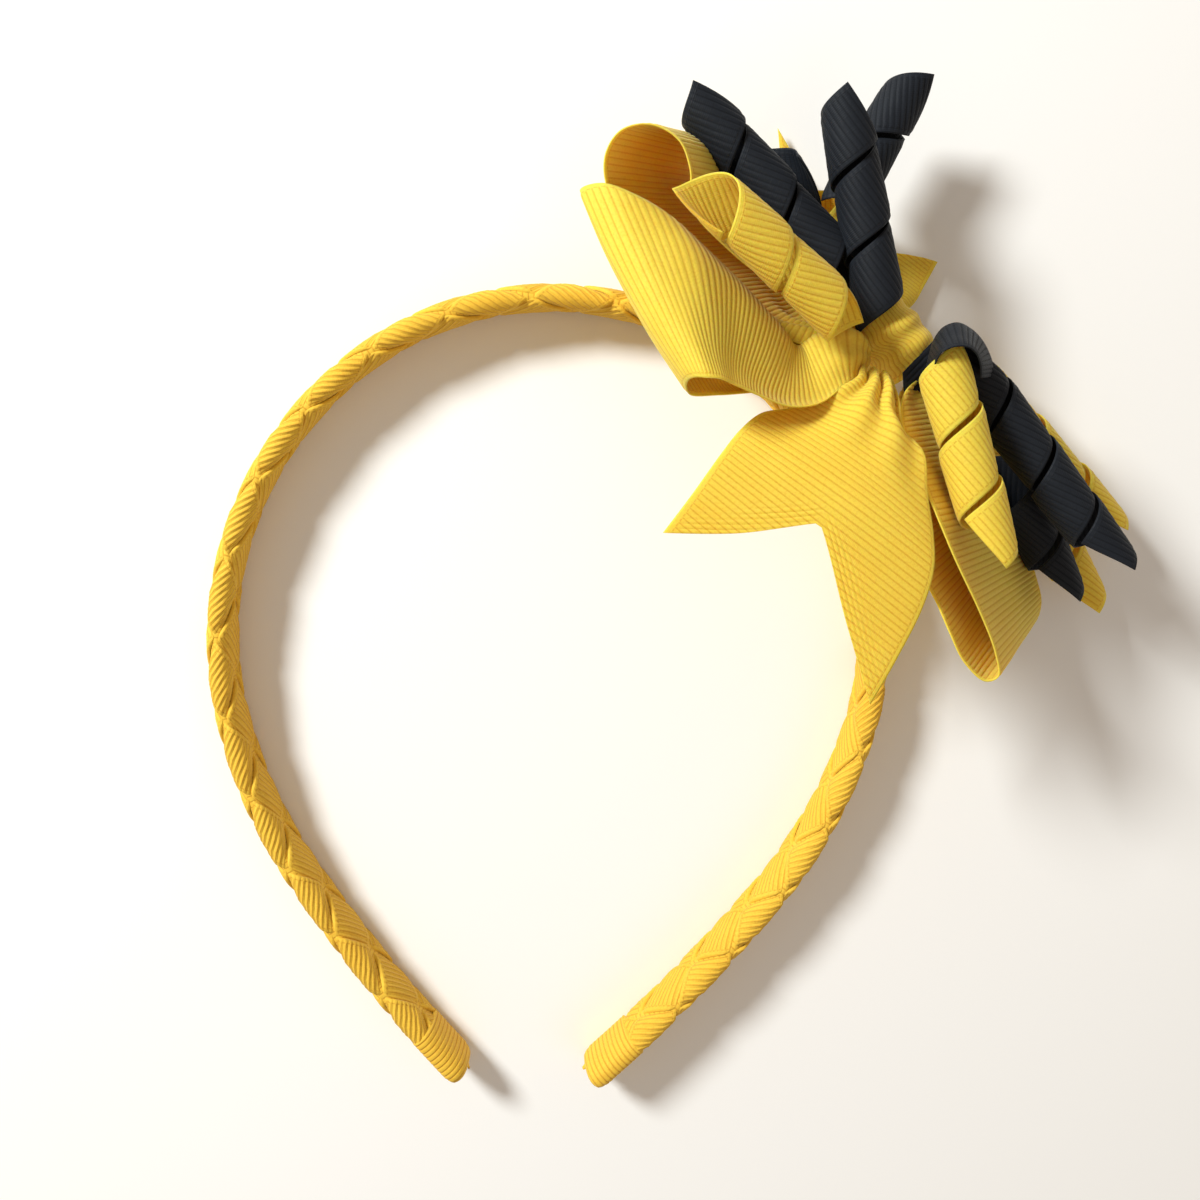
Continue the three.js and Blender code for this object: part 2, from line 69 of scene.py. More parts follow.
soft_lamp("key_lamp", (-0.56, 0.38, 0.50), 0.20, 8.4, (0.97, 1.0, 0.98))
soft_lamp("fill_lamp", (0.50, -0.40, 0.60), 0.50, 0.6, (1.0, 0.98, 0.95))

world = bpy.data.worlds.new("studio")
world.use_nodes = True
sky = world.node_tree.nodes["Background"]
sky.inputs["Color"].default_value = (1.0, 0.85, 0.70, 1)
sky.inputs["Strength"].default_value = 0.38
bpy.context.scene.world = world
bpy.context.scene.view_settings.view_transform = "Standard"

table_mesh = bpy.data.meshes.new("table")
reach = 3               # m
table_mesh.from_pydata(
    [(-reach, -reach, 0), (reach, -reach, 0), (reach, reach, 0), (-reach, reach, 0)],
    [], [(0, 1, 2, 3)],
)
table = bpy.data.objects.new("table", table_mesh)
bpy.context.scene.collection.objects.link(table)
table_paint = bpy.data.materials.new("pale_table")
table_paint.use_nodes = True
paint = table_paint.node_tree.nodes["Principled BSDF"]
paint.inputs["Base Color"].default_value = (0.95, 0.95, 0.95, 1)
paint.inputs["Roughness"].default_value = 0.8
table_mesh.materials.append(table_paint)

# Cloth: everything that shows is grosgrain, a polyester ribbon of closely packed cross ribs. The warp
# threads cross each rib as fine lines, and a flat selvage with a row of stitches runs along both sides.
MM = 0.001              # m
RIB = 0.93              # mm from rib to rib
THREAD = 0.30           # mm from one warp line to the next
STITCHES = 0.85         # mm from the edge to the row of stitches
OBJECT_COORDINATES = 3


class Value:
    """A number that changes over the cloth, with Python's arithmetic."""

    def __init__(self, cloth, socket):
        self.cloth = cloth
        self.socket = socket

    def _with(self, operation, *others):
        return self.cloth.node("ShaderNodeMath", {"operation": operation}, {0: others[0], 1: others[1]})

    def __add__(self, other):
        return self._with("ADD", self, other)

    __radd__ = __add__

    def __sub__(self, other):
        return self._with("SUBTRACT", self, other)

    def __rsub__(self, other):
        return self._with("SUBTRACT", other, self)

    def __mul__(self, other):
        return self._with("MULTIPLY", self, other)

    __rmul__ = __mul__

    def __truediv__(self, other):
        return self._with("DIVIDE", self, other)

    def __abs__(self):
        return self._with("ABSOLUTE", self, 0)

    def fraction(self):
        return self._with("FRACT", self, 0)

    def sine(self):
        return self._with("SINE", self, 0)

    def smaller(self, other):
        return self._with("MINIMUM", self, other)

    def between(self, low, high):
        """0 below low, 1 above high and a soft step in between."""
        return self.cloth.node(
            "ShaderNodeMapRange",
            {"interpolation_type": "SMOOTHSTEP"},
            {"Value": self, "From Min": low, "From Max": high},
        )


class Cloth:
    """A material that is put together node by node."""

    def __init__(self, name):
        self.material = bpy.data.materials.new(name)
        self.material.use_nodes = True
        self.tree = self.material.node_tree
        self.shader = self.tree.nodes["Principled BSDF"]

    def node(self, kind, settings, sockets, out=0):
        made = self.tree.nodes.new(kind)
        for key, setting in settings.items():
            setattr(made, key, setting)
        for key, value in sockets.items():
            self.set(made, key, value)
        return Value(self, made.outputs[out])

    def set(self, made, key, value):
        if isinstance(value, Value):
            self.tree.links.new(value.socket, made.inputs[key])
        else:
            made.inputs[key].default_value = value

    def blend(self, amount, first, second):
        """Colour between two colours."""
        return self.node(
            "ShaderNodeMix", {"data_type": "RGBA"}, {0: amount, 6: first, 7: second}, out=2
        )


def grosgrain(name, ridge, shade_and_mark_colour, faded, sheen, roughness, glow):
    """Ribbon cloth, coloured on its ribs and where it has faded, with painted shade in its grooves.
    The weave map gives the mm along the ribbon and in from the nearer edge."""
    cloth = Cloth(name)
    weave = cloth.node("ShaderNodeUVMap", {"uv_map": "weave"}, {})
    along = cloth.node("ShaderNodeSeparateXYZ", {}, {0: weave})
    inward = cloth.node("ShaderNodeSeparateXYZ", {}, {0: weave}, out=1)
    place = cloth.node("ShaderNodeTexCoord", {}, {}, out=OBJECT_COORDINATES)
    drift = cloth.node("ShaderNodeTexNoise", {}, {"Vector": place, "Scale": 90.0, "Detail": 2.0})
    grain = cloth.node("ShaderNodeTexNoise", {}, {"Vector": place, "Scale": 2600.0, "Detail": 2.0})
    from_top = abs((along / RIB).fraction() - 0.5) * 2
    groove = from_top.between(0.55, 1.0)
    body = inward.between(0.55, 1.05)
    threads = (inward * (2 * math.pi / THREAD)).sine() * 0.5 + 0.5
    off_row = abs(inward - STITCHES).between(0.0, 0.22)
    stitch = (1 - off_row) * (1 - from_top.between(0.35, 0.7))
    specks = grain.between(0.42, 0.75)
    # painted shade darkens the grooves between the ribs towards the second colour; the stitches and specks
    # are real marks in that colour
    painted_shade_and_marks = (groove * body * 0.50 + stitch * 0.50 + specks * 0.18).smaller(1.0)
    colour = cloth.blend(drift.between(0.35, 0.7) * 0.5, ridge, faded)
    colour = cloth.blend(painted_shade_and_marks, colour, shade_and_mark_colour)
    height = (1 - groove * body) * 0.55 + threads * 0.22 + grain * 0.30 - stitch * 0.25
    bump = cloth.node(
        "ShaderNodeBump", {}, {"Strength": 0.65, "Distance": 0.16 * MM, "Height": height}
    )
    cloth.set(cloth.shader, "Base Color", colour)
    cloth.set(cloth.shader, "Roughness", groove * 0.15 + roughness)
    cloth.set(cloth.shader, "Normal", bump)
    cloth.set(cloth.shader, "Sheen Weight", sheen)
    cloth.set(cloth.shader, "Sheen Roughness", 0.4)
    cloth.set(cloth.shader, "Specular IOR Level", 0.2)
    cloth.set(cloth.shader, "Subsurface Weight", glow)
    cloth.set(cloth.shader, "Subsurface Radius", (1.0, 0.50, 0.12))
    cloth.set(cloth.shader, "Subsurface Scale", 1.8 * MM)
    return cloth.material


# each cloth's second colour is painted shade for the grooves between its ribs, and also the colour of its
# stitches and specks
yellow_cloth = grosgrain(
    "yellow_grosgrain",
    ridge=(0.86, 0.62, 0.075, 1), shade_and_mark_colour=(0.60, 0.26, 0.014, 1), faded=(0.84, 0.56, 0.058, 1),
    sheen=0.12, roughness=0.65, glow=0.5,
)
braid_cloth = grosgrain(
    "yellow_braid",
    ridge=(0.84, 0.54, 0.055, 1), shade_and_mark_colour=(0.50, 0.18, 0.010, 1), faded=(0.82, 0.48, 0.042, 1),
    sheen=0.10, roughness=0.68, glow=0.0,
)
navy_cloth = grosgrain(
    "navy_grosgrain",
    ridge=(0.009, 0.012, 0.018, 1), shade_and_mark_colour=(0.003, 0.004, 0.006, 1), faded=(0.013, 0.017, 0.024, 1),
    sheen=0.03, roughness=0.62, glow=0.0,
)


def solid_piece(name, points, faces, weave, material, slot, node):
    """A mesh in mm with its weave map (a pair of mm values for every point), for that solid."""
    mesh = bpy.data.meshes.new(name)
    mesh.from_pydata((points * MM).tolist(), [], faces.tolist())
    layer = mesh.uv_layers.new(name="weave")
    layer.data.foreach_set("uv", weave[faces.ravel()].astype(np.float32).ravel())
    mesh.materials.append(material)
    mesh.shade_smooth()
    piece = bpy.data.objects.new(name, mesh)
    bpy.context.scene.collection.objects.link(piece)
    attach(piece, "root")
    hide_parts(node)
    return piece


# Headband: a hard core with two strands of 9.5 mm ribbon woven over it on the bias, so that four
# columns of diamonds run round it, one on each face and one on each rim. Each strand dives under
# the next at its ends, and a short sleeve of the same ribbon closes each tip.
HOME = np.array([-18.750, -18.130, 0.0])        # mm, middle of the band
SPAN = 112.2            # mm from side to side, at the middle of the band's thickness
BAND_WIDTH = 10.5       # mm
BAND_THICKNESS = 4.6    # mm
SQUARENESS = 2.6        # of the core's section, where 2 is an ellipse
ARCS = [(0.478, 37.5), (0.534, 67.7), (0.775, 20.6), (2.6, 8.9)]       # radius in spans, degrees
CROWN = 0.609 * SPAN
LEG_LEAN = 6            # degrees
HALF_LENGTH = sum(radius * SPAN * math.radians(turn) for radius, turn in ARCS)
NARROW = 9.5            # mm, width of the narrow ribbon
WRAPS = 26              # diamonds in a column
COLUMNS = 4
PITCH = 2 * HALF_LENGTH / WRAPS
DIVE = 0.85             # mm that the end of a strand lies lower
BRAID_RIB = 0.17        # mm, height of its ribs
CORE_DEPTH = 0.72       # mm from the surface down to the core
SLEEVE = 11.0           # mm, length of the sleeve at a tip
SLEEVE_RIB = 0.10       # mm, height of its ribs
TABLE_GAP = 0.02        # mm between the lowest cloth and the table


def smooth(low, high, value):
    """0 below low, 1 above high and a soft step in between."""
    t = np.clip((np.asarray(value, float) - low) / (high - low), 0, 1)
    return t * t * (3 - 2 * t)


def band_line(distance):
    """Points and outward directions of the core at distances from the crown, to the right above 0."""
    distance = np.asarray(distance, float)
    left = np.abs(distance)
    x, y = np.zeros_like(left), np.full_like(left, CROWN)
    heading = np.zeros_like(left)
    for number, (share, turn) in enumerate(ARCS):
        radius = share * SPAN
        most = radius * math.radians(turn)
        used = left if number == len(ARCS) - 1 else np.minimum(left, most)
        angle = used / radius
        x = x + radius * (np.sin(heading + angle) - np.sin(heading))
        y = y + radius * (np.cos(heading + angle) - np.cos(heading))
        heading = heading + angle
        left = left - used
    side = np.where(distance < 0, -1.0, 1.0)
    return side * x, y, side * np.sin(heading), np.cos(heading)


def band_section():
    """Outline of the core's section, by the distance round it from the middle of the outer face."""
    angle = np.linspace(0, 2 * math.pi, 721)
    power = 2 / SQUARENESS
    out = np.sign(np.cos(angle)) * np.abs(np.cos(angle)) ** power * BAND_THICKNESS / 2
    up = np.sign(np.sin(angle)) * np.abs(np.sin(angle)) ** power * BAND_WIDTH / 2
    round_it = np.concatenate([[0], np.cumsum(np.hypot(np.diff(out), np.diff(up)))])
    return round_it, out, up


SECTION, SECTION_OUT, SECTION_UP = band_section()
GIRTH = SECTION[-1]


def on_band(s, v, lift, size=1.0):
    """Points at distance s along the band and v round it, lifted off the core's surface. A size
    under 1 rounds off a tip, more in its thickness than in its width."""
    v = np.mod(v, GIRTH)
    out, up = np.interp(v, SECTION, SECTION_OUT), np.interp(v, SECTION, SECTION_UP)
    step = 0.05
    ahead, behind = np.mod(v + step, GIRTH), np.mod(v - step, GIRTH)
    d_out = np.interp(ahead, SECTION, SECTION_OUT) - np.interp(behind, SECTION, SECTION_OUT)
    d_up = np.interp(ahead, SECTION, SECTION_UP) - np.interp(behind, SECTION, SECTION_UP)
    norm = np.hypot(d_out, d_up)
    out = (out + lift * d_up / norm) * size
    up = (up - lift * d_out / norm) * (0.4 + 0.6 * size)
    x, y, out_x, out_y = band_line(s)
    lean = np.tan(math.radians(LEG_LEAN) * smooth(0.35, 0.85, np.abs(s) / HALF_LENGTH))
    away = out + up * lean
    return np.stack([x + out_x * away, y + out_y * away, BAND_WIDTH / 2 + up + 0 * s], -1) + HOME


def above_table(grid, lowest):
    grid[..., 2] = np.maximum(grid[..., 2], lowest)
    return grid


def quads(rows, columns, first=0, flip=False):
    """Faces of a grid of points, whose own numbers start at first."""
    i, j = np.meshgrid(np.arange(rows - 1), np.arange(columns - 1), indexing="ij")
    a = (i * columns + j).ravel() + first
    faces = np.stack([a, a + 1, a + columns + 1, a + columns], 1)
    return faces[:, ::-1] if flip else faces


def rib_stations(length):
    """Distances along a ribbon at which its ribs rise and fall."""
    phases = np.array([0.0, 0.09, 0.25, 0.5, 0.75, 0.91])
    count = int(length / RIB) + 1
    at = (np.arange(count)[:, None] + phases).ravel() * RIB
    at = at[at < length - 0.05]
    return np.append(at, length)


def rib_rise(along):
    """1 on top of a rib and 0 in the groove."""
    return np.abs(np.sin(math.pi * np.asarray(along) / RIB)) ** 0.6


# diamonds: a runs along the strand and b across it, from -1 to 1 on the diamond
patches = []
rng = np.random.default_rng(5)
half_side = NARROW / 2
along = rib_stations(2.34 * half_side)
a = (along - along[-1] / 2) / half_side
b = np.array([-1.0, -1.0, -0.96, -0.86, -0.45, 0.0, 0.45, 0.86, 0.96, 1.0, 1.0])
skirt = np.array([0.55, 0.25, 0.04, 0, 0, 0, 0, 0, 0.04, 0.25, 0.55])
A, B = np.meshgrid(a, b, indexing="ij")
under = smooth(0.45, 1.17, np.abs(A))
ribs = BRAID_RIB * (rib_rise(along)[:, None] - 1) * (np.abs(B) < 0.9)
strand = 0.02 - DIVE * under - 0.10 * B * B - skirt + ribs
narrowed = 1.0 - 0.04 * under
for column in range(COLUMNS):
    on_rim = column % 2 == 1
    for number in range(WRAPS + 1):
        middle = (number - WRAPS / 2) * PITCH + (0 if on_rim else PITCH / 2)
        if abs(middle) > HALF_LENGTH - 5:
            continue
        middle += rng.uniform(-0.2, 0.2)
        turn = rng.uniform(-0.05, 0.05)
        high = rng.uniform(-0.05, 0.03)
        A2, B2 = A + turn * B, B * narrowed - turn * A
        x = (A2 + B2) / 2
        y = (B2 - A2) / 2 if on_rim else (A2 - B2) / 2
        diamond = on_band(middle + x * PITCH / 2, (column + y) * GIRTH / COLUMNS, high + strand)
        inward = (1 - np.abs(B)) * half_side
        patches.append((above_table(diamond, TABLE_GAP), A * half_side + 100, inward, on_rim))
# core under the strands
S, V = np.meshgrid(
    np.linspace(-HALF_LENGTH + 2, HALF_LENGTH - 2, 361), np.linspace(0, GIRTH, 33), indexing="ij"
)
patches.append((on_band(S, V, np.full_like(S, -CORE_DEPTH)), S, 3.0, False))
# sleeves over the tips
along = rib_stations(SLEEVE)
back = np.concatenate([[0, 0.05, 0.25, 0.6, 1.1], along[along > 1.3]])
size = np.interp(back, [0, 0.05, 0.25, 0.6, 1.1, 2.4, SLEEVE], [0.02, 0.35, 0.62, 0.80, 0.90, 1.0, 1.0])
B, V = np.meshgrid(back, np.linspace(0, GIRTH, 65), indexing="ij")
lift = 0.02 + SLEEVE_RIB * (rib_rise(B) - 1) - 0.5 * (B > SLEEVE - 0.1)
for side in (-1, 1):
    cap = on_band(side * (HALF_LENGTH - B), V, lift, size[:, None])
    patches.append((above_table(cap, TABLE_GAP), B, 3.0, side > 0))


def joined(patches):
    """Several grids in one mesh, each with the mm along its ribbon and in from the edge."""
    points, faces, weave, count = [], [], [], 0
    for grid, along, inward, flip in patches:
        points.append(grid.reshape(-1, 3))
        faces.append(quads(*grid.shape[:2], count, flip))
        weave.append(np.stack(np.broadcast_arrays(along, inward), -1).reshape(-1, 2))
        count += len(points[-1])
    return np.concatenate(points), np.concatenate(faces), np.concatenate(weave)


solid_piece("woven_headband", *joined(patches), braid_cloth, "band_ribbon", "headband")

# Bow: loops and tails of 38 mm ribbon, cut off a roll, folded and gathered at one place under
# the knot. Each row of a table is one line across the ribbon: its near and its far selvage from the
# middle of the bow, how far the middle bulges, and how far the bulge's crest leans to the near side,
# all as shares of the ribbon's width.
WIDE = 38.0             # mm, width of the wide ribbon
BOW = HOME + np.array([0.445 * SPAN, 0.572 * SPAN, 0.5 * WIDE])        # middle of the bow
CLOTH_HALF = 0.10       # mm, half of the cloth's thickness in a groove
RIB_TOP = 0.15          # mm that a rib stands out on either side
LOWEST = 0.85           # mm, lowest middle of the cloth over the table
PLEATS = 3
LEAN = 10.4             # brings the crest of c (1 - c) (1 - 2 c) up to 1
ACROSS = 1.1            # mm, about, from point to point across the ribbon
YELLOW = (yellow_cloth, "yellow_ribbon")


def curve_through(knots, t):
    """Centripetal curve through points, at t from 0 to 1."""
    knots = np.asarray(knots, float)
    last = len(knots) - 1
    whole = np.minimum(np.floor(t * last).astype(int), last - 1)
    w = (t * last - whole)[:, None]
    more = np.concatenate([[2 * knots[0] - knots[1]], knots, [2 * knots[-1] - knots[-2]]])
    p0, p1, p2, p3 = (more[whole + k] for k in range(4))
    gap = [np.linalg.norm(b - a, axis=1)[:, None] ** 0.5 for a, b in ((p0, p1), (p1, p2), (p2, p3))]
    g0, g1, g2 = (np.maximum(g, 1e-4) for g in gap)
    m1 = ((p1 - p0) / g0 - (p2 - p0) / (g0 + g1) + (p2 - p1) / g1) * g1
    m2 = ((p2 - p1) / g1 - (p3 - p1) / (g1 + g2) + (p3 - p2) / g2) * g1
    return p1 + m1 * w + (-3 * p1 + 3 * p2 - 2 * m1 - m2) * w**2 + (2 * p1 - 2 * p2 + m1 + m2) * w**3


def values_through(values, t):
    """Smooth curve through evenly spaced numbers, at t from 0 to 1."""
    last = len(values) - 1
    whole = np.minimum(np.floor(t * last).astype(int), last - 1)
    w = t * last - whole
    more = np.array([2 * values[0] - values[1], *values, 2 * values[-1] - values[-2]])
    p0, p1, p2, p3 = (more[whole + k] for k in range(4))
    square = 2 * p0 - 5 * p1 + 4 * p2 - p3
    cube = 3 * p1 - p0 - 3 * p2 + p3
    return 0.5 * (2 * p1 + (p2 - p0) * w + square * w**2 + cube * w**3)


def across_steps(width, step):
    """Distances from one selvage to the other, closer together near the selvages."""
    edge = np.array([0.0, 0.35, 0.75, 1.15])
    inner = np.linspace(edge[-1], width - edge[-1], max(2, round((width - 2 * edge[-1]) / step)))
    return np.concatenate([edge, inner[1:-1], width - edge[::-1]])


def ribbon_mesh(grid, along, across):
    """Both faces of a ribbon round a grid of points, ribbed alike on both, and its cut edges."""
    rows, columns = grid.shape[:2]
    du, dv = np.gradient(grid, axis=0), np.gradient(grid, axis=1)
    normal = np.cross(du, dv)
    normal /= np.maximum(np.linalg.norm(normal, axis=-1, keepdims=True), 1e-9)
    inward = np.minimum(across, across[-1] - across)
    half = (CLOTH_HALF + RIB_TOP * rib_rise(along) * smooth(0.3, 1.0, inward))[..., None]
    points = np.concatenate([(grid + normal * half).reshape(-1, 3), (grid - normal * half).reshape(-1, 3)])
    under = rows * columns
    top = quads(rows, columns)
    bottom = quads(rows, columns, under, flip=True)
    border = np.concatenate([
        np.arange(columns), np.arange(1, rows) * columns + columns - 1,
        (rows - 1) * columns + np.arange(columns - 2, -1, -1), np.arange(rows - 2, 0, -1) * columns,
    ])
    after = np.roll(border, -1)
    rim = np.stack([border, border + under, after + under, after], 1)
    pair = np.stack(np.broadcast_arrays(along, inward[None, :]), -1).reshape(-1, 2)
    return points, np.concatenate([top, bottom, rim]), np.concatenate([pair, pair])


def laid_ribbon(name, node, rows, fork=None, gather=(0, 0), colour=YELLOW, width=WIDE):
    """A ribbon laid through a table's lines, and its length in mm. Fork says how far the near corner
    and the notch reach, where the notch is and how far the far corner reaches, and gather how high
    the pleats are at the first and the last line."""
    near = np.array([row[0] for row in rows]) * WIDE + BOW
    far = np.array([row[1] for row in rows]) * WIDE + BOW
    fine = np.linspace(0, 1, 3001)
    middle = (curve_through(near, fine) + curve_through(far, fine)) / 2
    run = np.concatenate([[0], np.cumsum(np.linalg.norm(np.diff(middle, axis=0), axis=1))])
    length = run[-1]
    stations = rib_stations(length)
    across = across_steps(width, ACROSS)
    c = across / width
    along = stations[:, None] * np.ones_like(c)
    if fork:
        near_end, notch, notch_at, far_end = fork
        cut = np.interp(np.where(
            c < notch_at, near_end + (notch - near_end) * c / notch_at,
            notch + (far_end - notch) * (c - notch_at) / (1 - notch_at),
        ), fine, run)
        drawn = smooth(0.35, 1.0, stations / length)[:, None]
        along = along * (1 - drawn) + along / length * cut * drawn
    s = along.reshape(-1, 1)
    cc = np.tile(c, len(stations))[:, None]
    t = np.interp(s[:, 0], run, fine)
    p_near, p_far = curve_through(near, t), curve_through(far, t)
    before, after = np.maximum(t - 0.01, 0), np.minimum(t + 0.01, 1)
    forward = curve_through(near, after) + curve_through(far, after)
    forward = forward - (curve_through(near, before) + curve_through(far, before))
    side = p_far - p_near
    normal = np.cross(forward, side)
    normal /= np.maximum(np.linalg.norm(normal, axis=1, keepdims=True), 1e-9)
    bulge = values_through([row[2] for row in rows], t)[:, None] * WIDE * 4 * cc * (1 - cc)
    if len(rows[0]) > 3:
        lean = values_through([row[3] for row in rows], t)[:, None] * WIDE
        bulge = bulge + lean * LEAN * cc * (1 - cc) * (1 - 2 * cc)
    drawn_in = np.linalg.norm(side, axis=1) / WIDE
    loose = np.sqrt(np.maximum(1 - drawn_in**2, 0)) * (1 - smooth(0.3, 0.85, drawn_in))
    deep = gather[0] + (gather[1] - gather[0]) * smooth(0.55, 0.68, t)
    pleat = (deep * loose)[:, None] * np.sin(2 * math.pi * PLEATS * cc + 0.05 * s)
    ripple = 0.05 * np.sin(0.31 * s + 5 * cc) * np.sin(9 * cc + 0.11 * s + len(name))
    grid = p_near * (1 - cc) + p_far * cc + normal * (bulge + pleat + ripple)
    grid = above_table(grid, LOWEST).reshape(len(stations), len(c), 3)
    return solid_piece(name, *ribbon_mesh(grid, along, across), *colour, node), length


LOOP_RIGHT = [
    ([0.14, -0.13, 0.12], [0.22, -0.10, -0.12], 0.00),
    ([0.02, -0.22, 0.24], [0.26, -0.17, -0.05], 0.00),
    ([-0.01, -0.36, 0.36], [0.47, -0.29, -0.15], 0.00),
    ([0.07, -0.57, 0.45], [0.66, -0.52, -0.25], 0.00),
    ([0.19, -0.82, 0.50], [0.765, -0.76, -0.29], 0.00),
    ([0.32, -1.04, 0.50], [0.845, -0.96, -0.29], 0.00),
    ([0.41, -1.22, 0.50], [0.895, -1.10, -0.29], 0.00),
    ([0.43, -1.31, 0.50], [0.88, -1.18, -0.29], 0.00),
    ([0.38, -1.33, 0.50], [0.84, -1.20, -0.29], 0.00),
    ([0.29, -1.26, 0.50], [0.74, -1.11, -0.29], 0.00),
    ([0.22, -1.15, 0.50], [0.67, -0.98, -0.29], 0.00),
    ([0.16, -1.03, 0.47], [0.62, -0.86, -0.29], 0.00),
    ([0.08, -0.88, 0.42], [0.57, -0.71, -0.32], 0.00),
    ([0.04, -0.65, 0.33], [0.48, -0.53, -0.33], 0.00),
    ([0.03, -0.42, 0.22], [0.37, -0.36, -0.27], 0.00),
    ([0.06, -0.26, 0.10], [0.25, -0.22, -0.20], 0.00),
    ([0.13, -0.17, 0.04], [0.20, -0.14, -0.15], 0.00),
]
LOOP_LEFT = [
    ([-0.17, 0.06, 0.12], [-0.08, 0.13, -0.10], 0.00),
    ([-0.31, 0.08, 0.25], [-0.11, 0.19, -0.20], 0.00),
    ([-0.53, 0.14, 0.34], [-0.23, 0.25, -0.33], 0.00),
    ([-0.76, 0.27, 0.40], [-0.38, 0.40, -0.42], 0.00),
    ([-0.91, 0.40, 0.44], [-0.50, 0.53, -0.44], 0.00),
    ([-0.93, 0.54, 0.45], [-0.52, 0.67, -0.44], 0.00),
    ([-0.98, 0.64, 0.45], [-0.57, 0.77, -0.44], 0.00),
    ([-1.09, 0.69, 0.45], [-0.67, 0.82, -0.44], 0.00),
    ([-1.20, 0.66, 0.45], [-0.78, 0.79, -0.44], 0.00),
    ([-1.25, 0.57, 0.42], [-0.81, 0.70, -0.45], 0.00),
    ([-1.22, 0.44, 0.36], [-0.74, 0.58, -0.45], 0.00),
    ([-1.08, 0.30, 0.26], [-0.58, 0.45, -0.45], 0.00),
    ([-0.84, 0.15, 0.20], [-0.38, 0.28, -0.44], 0.00),
    ([-0.57, 0.02, 0.16], [-0.27, 0.11, -0.38], 0.00),
    ([-0.33, -0.02, 0.10], [-0.17, 0.03, -0.22], 0.00),
    ([-0.20, 0.00, 0.07], [-0.14, 0.02, -0.13], 0.00),
]
LOOP_FRONT = [
    ([-0.16, 0.00, 0.10], [-0.12, -0.15, 0.10], 0.06, 0.00),
    ([-0.24, 0.00, 0.04], [-0.21, -0.19, 0.26], 0.10, 0.03),
    ([-0.38, -0.12, 0.00], [-0.36, -0.29, 0.42], 0.09, 0.05),
    ([-0.50, -0.11, 0.00], [-0.49, -0.31, 0.50], 0.11, 0.05),
    ([-0.63, 0.02, 0.05], [-0.62, -0.28, 0.57], 0.12, 0.05),
    ([-0.80, 0.22, 0.18], [-0.72, -0.25, 0.63], 0.09, 0.04),
    ([-0.97, 0.37, 0.36], [-0.79, -0.23, 0.68], 0.04, 0.02),
    ([-1.12, 0.44, 0.40], [-0.84, -0.23, 0.69], 0.02, 0.00),
    ([-1.25, 0.48, 0.37], [-0.88, -0.23, 0.66], 0.03, 0.00),
    ([-1.33, 0.46, 0.31], [-0.90, -0.25, 0.58], 0.03, 0.00),
    ([-1.27, 0.42, 0.24], [-0.87, -0.29, 0.48], 0.03, 0.00),
    ([-1.06, 0.33, 0.22], [-0.74, -0.28, 0.36], 0.03, 0.00),
    ([-0.80, 0.20, 0.16], [-0.58, -0.26, 0.22], 0.03, 0.00),
    ([-0.54, 0.03, 0.03], [-0.41, -0.25, 0.05], 0.02, 0.00),
    ([-0.30, -0.08, -0.02], [-0.22, -0.17, -0.10], 0.00, 0.00),
    ([-0.20, -0.05, 0.00], [-0.15, -0.10, -0.10], 0.00, 0.00),
]
TAIL_FRONT = [
    ([-0.15, -0.13, 0.16], [-0.03, -0.16, 0.20], 0.00),
    ([-0.18, -0.18, 0.24], [-0.02, -0.25, 0.31], 0.03),
    ([-0.25, -0.22, 0.28], [-0.01, -0.37, 0.38], 0.06),
    ([-0.34, -0.27, 0.30], [0.06, -0.46, 0.45], 0.08),
    ([-0.45, -0.315, 0.33], [0.08, -0.61, 0.48], 0.08),
    ([-0.57, -0.34, 0.36], [0.11, -0.76, 0.51], 0.07),
    ([-0.66, -0.41, 0.42], [0.12, -0.89, 0.53], 0.05),
    ([-0.73, -0.50, 0.46], [0.09, -1.05, 0.53], 0.03),
    ([-0.84, -0.67, 0.49], [0.01, -1.26, 0.52], 0.01),
    ([-0.94, -0.82, 0.50], [-0.07, -1.45, 0.50], 0.00),
]
TAIL_REAR = [
    ([-0.04, 0.16, -0.26], [0.07, 0.13, -0.26], 0.00),
    ([-0.14, 0.25, -0.38], [0.15, 0.15, -0.38], 0.00),
    ([-0.29, 0.44, -0.43], [0.21, 0.20, -0.40], 0.00),
    ([-0.41, 0.68, -0.45], [0.26, 0.29, -0.43], 0.00),
    ([-0.46, 0.91, -0.45], [0.31, 0.39, -0.45], 0.00),
]
loop_right, length = laid_ribbon("loop_right", "bow_loop_right", LOOP_RIGHT, gather=(0.3, 1.6))
loop_left, length = laid_ribbon("loop_left", "bow_loop_left", LOOP_LEFT, gather=(0.3, 1.6))
loop_front, length = laid_ribbon("loop_front", "bow_loop_front", LOOP_FRONT, gather=(0.2, 3.0))
tail_front, length = laid_ribbon(
    "tail_front", "bow_tail_front", TAIL_FRONT, fork=(1.0, 0.77, 0.47, 1.0), gather=(0.8, 0.3)
)
tail_rear, length = laid_ribbon(
    "tail_rear", "bow_tail_rear", TAIL_REAR, fork=(1.0, 0.60, 0.50, 1.0), gather=(2.1, 2.1)
)

